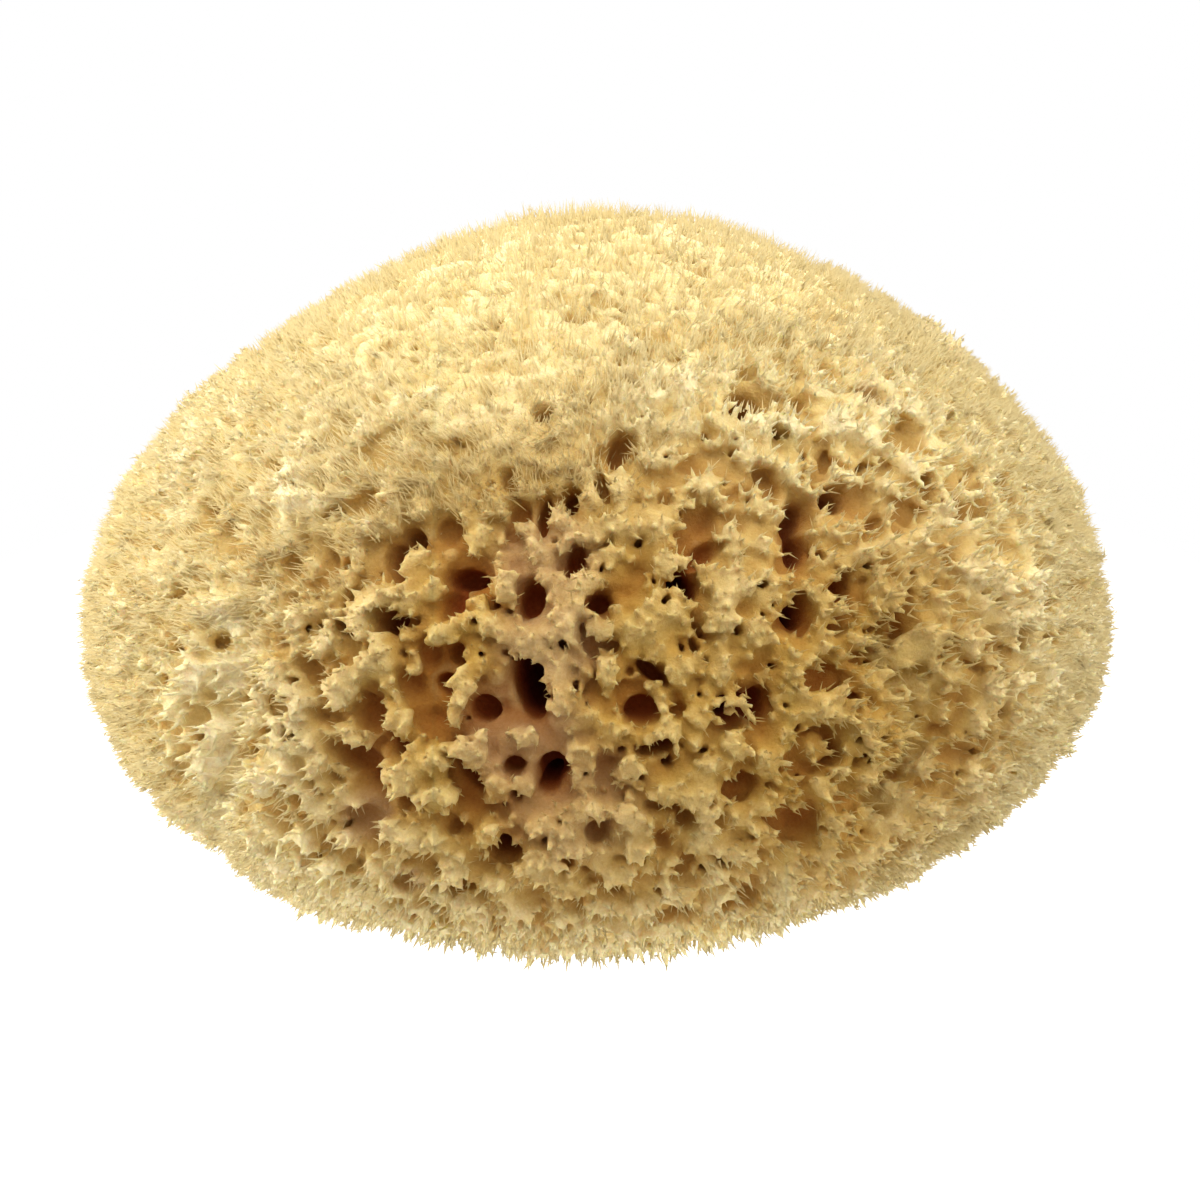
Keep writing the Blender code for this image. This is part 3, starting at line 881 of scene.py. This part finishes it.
def mark_depth(mesh):
    """Gives each point its depth as a share of the deepest, for the painted shade that darkens with depth,
    how far it takes the front's darker colours, which are partly its own tone and partly painted shade, and
    how mauve it is.
    """
    offset = coordinates(mesh) / MM - MIDDLE
    away = np.linalg.norm(offset, axis=1)
    directions = offset / away[:, None]
    depth = form(directions) - away
    wide = openness(directions)
    front_tone_and_shade = 1 - smooth(*FRONT_OCHRE_AND_SHADE, angle_from(directions, FRONT))
    right_tone_and_shade = 1 - smooth(*RIGHT_OCHRE_AND_SHADE_REACH, angle_from(directions, RIGHT_OCHRE_AND_SHADE))
    at_back = BACK_OCHRE * wide * smooth(0.0, 0.4, directions[:, 1])
    # Painted shade: this depth darkens the colour in the canals, the hollows and at the fibres' roots.
    mark(mesh, "depth", depth * (0.6 + 0.4 * wide) / DEEPEST)
    # The front's darker colours are partly the sponge's own tone and partly painted shade on the front that
    # faces the eye, so the rims round it stand paler.
    mark(mesh, "ochre_tone_and_front_shade", np.maximum(np.maximum(front_tone_and_shade, right_tone_and_shade), at_back))
    mauve = np.zeros(len(directions))
    for middle, reach, share in MAUVE_PLACES:
        apart = angle_from(directions, middle)
        mauve = np.maximum(mauve, share * (1 - smooth(0.4, 1.0, apart / reach)))
    mark(mesh, "mauve", mauve * (1 - smooth(3.0, 7.0, depth)))


def fibre_mesh(name, feet, tips, radii):
    """Closed three-sided spikes joined in one mesh, shaded more as a coat than one by one."""
    count = len(feet)
    along = unit(tips - feet)
    aside = np.cross(along, np.where(np.abs(along[:, 2:]) < 0.9, (0.0, 0.0, 1.0), (1.0, 0.0, 0.0)))
    right = unit(aside)
    upward = np.cross(along, right)
    turns = math.tau * np.arange(3) / 3
    ring = np.cos(turns)[None, :, None] * right[:, None] + np.sin(turns)[None, :, None] * upward[:, None]
    points = np.concatenate([feet[:, None] + ring * radii[:, None, None], tips[:, None]], 1)
    faces = np.array(((0, 2, 1), (0, 1, 3), (1, 2, 3), (2, 0, 3)))
    triangles = faces[None] + 4 * np.arange(count)[:, None, None]
    mesh = new_mesh(name, points.reshape(-1, 3) * MM, triangles.reshape(-1, 3))
    mesh.shade_smooth()
    coat = unit(feet - MIDDLE)[:, None]
    ring_normals = unit(ring + COAT_SHADING * coat)
    tip_normals = unit(along[:, None] + COAT_SHADING * coat)
    normals = np.concatenate([ring_normals, tip_normals], 1)
    mesh.normals_split_custom_set_from_vertices(normals.reshape(-1, 3))
    mark(mesh, "full", np.tile((ROOT_FULLNESS, ROOT_FULLNESS, ROOT_FULLNESS, TIP_FULLNESS), count))
    return mesh


def tooth_points(teeth, fringe, random):
    """Fine points that carry on the teeth, and a fringe of short fibrils on every rim."""
    ends, ways, lengths = teeth
    spread = unit(ways + 0.15 * random.normal(0, 1, ends.shape))
    feet = [ends - (0.3 + 0.4 * lengths)[:, None] * spread]
    tips = [ends + (0.1 + random.uniform(0.1, 0.5, len(ends)) * lengths)[:, None] * spread]
    radii = [random.uniform(0.20, 0.28, len(ends))]

    points, normals = fringe
    outward = unit(points - MIDDLE)
    wide = openness(outward)
    ragged = smooth(0.3, 0.8, angle_from(outward, FRONT)) * wide * smooth(-0.5, -0.1, outward[:, 2])
    weight = 0.1 + 0.9 * wide
    count = min(FRINGE_FIBRES - len(ends), len(points))
    chosen = random.choice(len(points), count, replace=False, p=weight / weight.sum())
    points, normals, outward, ragged = points[chosen], normals[chosen], outward[chosen], ragged[chosen]
    spread = (0.9 - 0.5 * ragged)[:, None] * normals + (0.2 + 0.9 * ragged)[:, None] * growing_way(outward)
    spread = unit(spread + 0.4 * random.normal(0, 1, points.shape))
    lengths = random.uniform(0.35, 1.0, count) * (1 + 1.5 * ragged)
    feet.append(points - 0.3 * spread)
    tips.append(points + lengths[:, None] * spread)
    radii.append(random.uniform(0.11, 0.19, count))

    feet, tips, radii = (np.concatenate(parts) for parts in (feet, tips, radii))
    kept = np.minimum(feet[:, 2], tips[:, 2]) > 0.4
    return fibre_mesh("sponge_points", feet[kept], tips[kept], radii[kept])


def combing(points, random):
    """A direction at each point that neighbours share: each of some loose clumps pulls its own way."""
    total = np.zeros_like(points)
    for _ in range(COMBING_WAVES):
        way = random.normal(0, 1, 3)
        wave = unit(random.normal(0, 1, 3)) * random.uniform(0.7, 2.2)
        total += np.sin(points @ wave + random.uniform(0, math.tau))[:, None] * way
    return total / math.sqrt(COMBING_WAVES)


def fuzz(name, skin, normals, random, length, radius):
    """Fibres in loose clumps on the outermost places of the skin, most where the growth is close."""
    offset = skin - MIDDLE
    away = np.linalg.norm(offset, axis=1)
    outward = offset / away[:, None]
    depth = form(outward) - away
    weight = np.exp(-np.clip(depth - 2.1, 0, None) / 0.9) * smooth(-0.3, 0.6, (normals * outward).sum(1))
    weight *= 1 - smooth(0.1, 0.95, openness(outward))
    weight[skin[:, 2] < 1.2] = 0
    chosen = random.choice(len(skin), FUZZ_FIBRES, p=weight / weight.sum())
    spread = growing_way(outward[chosen]) + 0.3 * normals[chosen] + 0.55 * combing(skin[chosen], random)
    spread = unit(spread + 0.13 * random.normal(0, 1, (FUZZ_FIBRES, 3)))
    length = length * random.uniform(0.5, 1.25, FUZZ_FIBRES) * (1 - 0.6 * openness(outward[chosen]))
    length *= 0.55 + 0.9 * smooth(-0.8, 0.8, combing(skin[chosen], random)[:, 0])
    reach = np.minimum(length, np.clip(depth[chosen] + 1.3, 0.5, None))
    feet = skin[chosen] - 0.3 * spread + 0.3 * random.normal(0, 1, (FUZZ_FIBRES, 3))
    tips = feet + spread * reach[:, None]
    kept = np.minimum(feet[:, 2], tips[:, 2]) > 0.3
    radii = radius * random.uniform(0.7, 1.2, kept.sum())
    return fibre_mesh(name, feet[kept], tips[kept], radii)


class Nodes:
    """Adds and links the nodes of one material or world."""

    def __init__(self, holder):
        holder.use_nodes = True
        self.tree = holder.node_tree
        self.tree.nodes.clear()

    def add(self, kind, settings=None, **inputs):
        node = self.tree.nodes.new(kind)
        for name, value in (settings or {}).items():
            setattr(node, name, value)
        for name, value in inputs.items():
            self.put(node.inputs[name.replace("_", " ")], value)
        return node

    def put(self, socket, value):
        if isinstance(value, bpy.types.NodeSocket):
            self.tree.links.new(value, socket)
        else:
            socket.default_value = value

    def ramp(self, value, stops):
        node = self.add("ShaderNodeValToRGB", Fac=value)
        elements = node.color_ramp.elements
        while len(elements) > 1:
            elements.remove(elements[-1])
        elements[0].position, elements[0].color = stops[0][0], (*stops[0][1], 1)
        for place, colour in stops[1:]:
            elements.new(place).color = (*colour, 1)
        return node.outputs["Color"]

    def math(self, operation, a, b=0.0, c=0.0, clamp=False):
        node = self.add("ShaderNodeMath", {"operation": operation, "use_clamp": clamp})
        for socket, value in zip(node.inputs, (a, b, c)):
            self.put(socket, value)
        return node.outputs[0]

    def mixed(self, share, a, b, blend="MIX"):
        node = self.add("ShaderNodeMix", {"data_type": "RGBA", "blend_type": blend})
        self.put(node.inputs[0], share)
        self.put(node.inputs[6], a)
        self.put(node.inputs[7], b)
        return node.outputs[2]

    def blended(self, share, first, second):
        """One shader, and a share of the other in its place."""
        node = self.add("ShaderNodeMixShader")
        for socket, value in zip(node.inputs, (share, first.outputs[0], second.outputs[0])):
            self.put(socket, value)
        return node

    def end(self, kind, shader):
        """Links a shader to the node that ends the tree."""
        self.put(self.add(kind).inputs[0], shader.outputs[0])

    def noise(self, scale, detail=3.0, roughness=0.55):
        place = self.add("ShaderNodeTexCoord").outputs["Object"]
        node = self.add("ShaderNodeTexNoise", Vector=place, Scale=scale, Detail=detail, Roughness=roughness)
        return node.outputs["Fac"]


# The colours by depth, as shares of the deepest: the pale growth's, and the ochre front's. Their
# darkening with depth is painted shade in the canals, the hollows and round the fibres' roots.
PALE_TONE_AND_DEPTH_SHADE = (
    (0.00, (0.94, 0.82, 0.49)),
    (0.06, (0.89, 0.75, 0.38)),
    (0.13, (0.76, 0.56, 0.21)),
    (0.24, (0.58, 0.36, 0.10)),
    (0.38, (0.42, 0.21, 0.045)),
    (0.60, (0.22, 0.07, 0.014)),
)
OCHRE_TONE_AND_DEPTH_SHADE = (
    (0.00, (0.62, 0.43, 0.135)),
    (0.10, (0.55, 0.33, 0.066)),
    (0.22, (0.44, 0.205, 0.029)),
    (0.36, (0.38, 0.125, 0.014)),
    (0.52, (0.34, 0.070, 0.008)),
    (0.75, (0.24, 0.032, 0.004)),
    (1.00, (0.05, 0.005, 0.002)),
)
PALE_TIP = (0.97, 0.85, 0.47, 1)
OCHRE_TIP = (0.78, 0.61, 0.26, 1)
GRAIN = (0.72, 0.56, 0.34, 1)
MAUVE = (0.58, 0.39, 0.22, 1)

# How far tips take their own colour, and how far the grain darkens.
TIP_SHARE = 0.6
GRAIN_SHARE = 0.42

# The fine bumps of the body, and how far light spreads in it, in metres times the radius.
BUMP_STRENGTH = 0.75
BUMP_HEIGHT = 0.0006
SPREAD_SHARE = 0.35
SPREAD_RADIUS = (1.0, 0.6, 0.22)
SPREAD_SCALE = 0.0020
THROUGH_FIBRES = 0.5


def sponge_colour(nodes):
    """The sponge's colour: darker with depth as painted shade in the recesses, paler on thin tips, and paler
    away from the open front, where the front's darker colours are partly its own tone and partly painted
    shade.
    """

    def marked(name):
        return nodes.add("ShaderNodeAttribute", {"attribute_name": name}).outputs["Fac"]

    patches = nodes.math("MULTIPLY_ADD", nodes.noise(140, 3), 0.10, -0.05)
    # Painted shade: the colour darkens with depth into the canals and hollows and at the fibres' roots.
    depth = nodes.math("ADD", marked("depth"), patches, clamp=True)
    # Partly painted shade: the front takes the darker colours and the rims round it the paler ones, partly as
    # the sponge's own tone.
    colour = nodes.mixed(marked("ochre_tone_and_front_shade"), nodes.ramp(depth, PALE_TONE_AND_DEPTH_SHADE), nodes.ramp(depth, OCHRE_TONE_AND_DEPTH_SHADE))
    colour = nodes.mixed(marked("mauve"), colour, MAUVE)
    thin = nodes.math("MULTIPLY_ADD", marked("full"), -4.0, 1.75, clamp=True)
    thin = nodes.math("MULTIPLY", thin, TIP_SHARE)
    tip = nodes.mixed(marked("ochre_tone_and_front_shade"), PALE_TIP, OCHRE_TIP)
    colour = nodes.mixed(thin, colour, tip)
    grain = nodes.math("MULTIPLY_ADD", nodes.noise(2200, 2, 0.7), 2.4, -0.75, clamp=True)
    return nodes.mixed(nodes.math("MULTIPLY", grain, GRAIN_SHARE), colour, GRAIN, "MULTIPLY")


def sponge_material():
    """The body's material: dull, with light that spreads in it."""
    material = bpy.data.materials.new("dried_sponge")
    nodes = Nodes(material)
    height = nodes.noise(1400, 5, 0.7)
    bump = nodes.add("ShaderNodeBump", Strength=BUMP_STRENGTH, Distance=BUMP_HEIGHT, Height=height)
    colour = sponge_colour(nodes)
    shader = nodes.add("ShaderNodeBsdfPrincipled", Base_Color=colour, Normal=bump.outputs["Normal"])
    shader.inputs["Roughness"].default_value = 0.85
    shader.inputs["Specular IOR Level"].default_value = 0.25
    shader.inputs["Subsurface Weight"].default_value = SPREAD_SHARE
    shader.inputs["Subsurface Radius"].default_value = SPREAD_RADIUS
    shader.inputs["Subsurface Scale"].default_value = SPREAD_SCALE
    nodes.end("ShaderNodeOutputMaterial", shader)
    return material


def fibre_material():
    """The same sponge in threads so fine that light comes through them."""
    material = bpy.data.materials.new("dried_sponge_fibre")
    nodes = Nodes(material)
    colour = sponge_colour(nodes)
    front = nodes.add("ShaderNodeBsdfDiffuse", Color=colour)
    through = nodes.add("ShaderNodeBsdfTranslucent", Color=colour)
    nodes.end("ShaderNodeOutputMaterial", nodes.blended(THROUGH_FIBRES, front, through))
    return material


def finished(made, material):
    made.data.materials.clear()
    made.data.materials.append(material)
    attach(made, "root")
    return made


def build_sponge():
    """Grows the sponge, cuts its body into pieces that replace the solid, and sets fibres on it."""
    growth = Growth()
    teeth, fringe = grow(growth)
    points, triangles = skin_of(growth)
    full = growth.fullness()
    growth.free_grids()
    whole = new_object(new_mesh("sponge_whole", points * MM, triangles))
    del points, triangles
    body = thinned(whole, BODY_TRIANGLES)
    bpy.data.objects.remove(whole)
    body.shade_smooth()

    random = np.random.default_rng(SEED + 1)
    skin = coordinates(body).astype(float) / MM
    normals = np.empty(3 * len(skin), np.float32)
    body.vertices.foreach_get("normal", normals)
    normals = normals.reshape(-1, 3)
    mark(body, "full", growth.sample(full, skin, 2))
    mark_depth(body)

    material = sponge_material()
    for k, part in enumerate(slabs(body, BODY_PIECES)):
        piece = finished(new_object(part), material)
        if k == 0:
            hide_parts("sponge")

    material = fibre_material()
    fibres = [tooth_points(teeth, fringe, random)]
    for name, length, radius in FUZZ_KINDS:
        fibres.append(fuzz(name, skin, normals, random, length, radius))
    for mesh in fibres:
        mark_depth(mesh)
        finished(new_object(mesh), material)


# The studio: the light from each side of the room, as the axis, its sign and the strength.
ROOM_LIGHT = (
    ("X", 1.0, 2.9),
    ("Y", 1.0, 2.5),
    ("Y", -1.0, 0.5),
    ("Z", 1.0, 1.05),
)

# The table glows like a lamp to light the sponge from below, fading over TABLE_FADE metres from TABLE_REACH
# outward.
TABLE_LIGHT = 1.6
TABLE_REACH = 0.08
TABLE_FADE = 0.15
FLOOR_HALF_SIDE = 3
FLOOR_DROP = 0.0005

# Lamps: name, place and side in metres, and watts. They point at the sponge's middle.
SOFTBOXES = (
    ("softbox_top", (-0.10, -0.22, 0.80), 0.6, 3.7),
    ("softbox_left", (-0.75, 0.05, 0.20), 0.5, 7.4),
)
LAMP_TARGET = (0, 0, 0.04)


def softbox(name, place, side, power):
    light = bpy.data.lights.new(name, "AREA")
    light.size = side
    light.energy = power
    made = new_object(light)
    made.location = place
    made.rotation_euler = (Vector(LAMP_TARGET) - Vector(place)).to_track_quat("-Z", "Y").to_euler()


def build_light():
    """A room that lights from its sides and shows as plain white, and the softboxes."""
    world = bpy.data.worlds.new("studio")
    bpy.context.scene.world = world
    nodes = Nodes(world)
    seen = nodes.add("ShaderNodeLightPath").outputs["Is Camera Ray"]
    place = nodes.add("ShaderNodeTexCoord").outputs["Generated"]
    parts = nodes.add("ShaderNodeSeparateXYZ", Vector=place).outputs
    strength = 0.0
    for axis, sign, light in ROOM_LIGHT:
        facing = nodes.math("MULTIPLY", parts[axis], sign, clamp=True)
        facing = nodes.math("POWER", facing, 2.0)
        strength = nodes.math("MULTIPLY_ADD", facing, light, strength)
    around = nodes.add("ShaderNodeBackground", Color=(1, 1, 1, 1), Strength=strength)
    behind = nodes.add("ShaderNodeBackground", Color=(1, 1, 1, 1), Strength=1.0)
    nodes.end("ShaderNodeOutputWorld", nodes.blended(seen, around, behind))
    for kind in SOFTBOXES:
        softbox(*kind)


def build_floor():
    """A plain white table that shows as white, and glows near the sponge to light its underside."""
    mesh = bpy.data.meshes.new("studio_floor")
    side = FLOOR_HALF_SIDE
    corners = [(-side, -side, 0), (side, -side, 0), (side, side, 0), (-side, side, 0)]
    mesh.from_pydata(corners, [], [(0, 1, 2, 3)])
    floor = new_object(mesh)
    floor.location.z = -FLOOR_DROP
    material = bpy.data.materials.new("white_floor")
    nodes = Nodes(material)
    seen = nodes.add("ShaderNodeLightPath").outputs["Is Camera Ray"]
    place = nodes.add("ShaderNodeTexCoord").outputs["Object"]
    away = nodes.add("ShaderNodeVectorMath", {"operation": "LENGTH"}, Vector=place).outputs["Value"]
    beyond = nodes.math("SUBTRACT", away, TABLE_REACH)
    far = nodes.math("MULTIPLY", beyond, 1 / TABLE_FADE, clamp=True)
    glowing = nodes.math("MULTIPLY_ADD", far, -TABLE_LIGHT, TABLE_LIGHT)
    strength = nodes.math("MAXIMUM", seen, glowing)
    # Painted light: the floor glows, brightest near the sponge, as a hidden lamp under it.
    glow = nodes.add("ShaderNodeEmission", Color=(1, 1, 1, 1), Strength=strength)
    nodes.end("ShaderNodeOutputMaterial", glow)
    mesh.materials.append(material)


SENSOR_WIDTH = 36


def build_camera():
    """The photograph's eye: its frame is PICTURE_PIXELS * PIXEL wide at the distance of AIM."""
    camera = new_object(bpy.data.cameras.new("camera"))
    camera.location = (AIM + EYE_DISTANCE * TO_EYE) * MM
    camera.rotation_euler = Vector(-TO_EYE).to_track_quat("-Z", "Y").to_euler()
    camera.data.sensor_width = SENSOR_WIDTH
    camera.data.lens = SENSOR_WIDTH * EYE_DISTANCE / (PICTURE_PIXELS * PIXEL)
    camera.data.clip_start = 0.01
    bpy.context.scene.camera = camera


build_sponge()
build_light()
build_floor()
build_camera()
bpy.context.scene.view_settings.view_transform = "Standard"
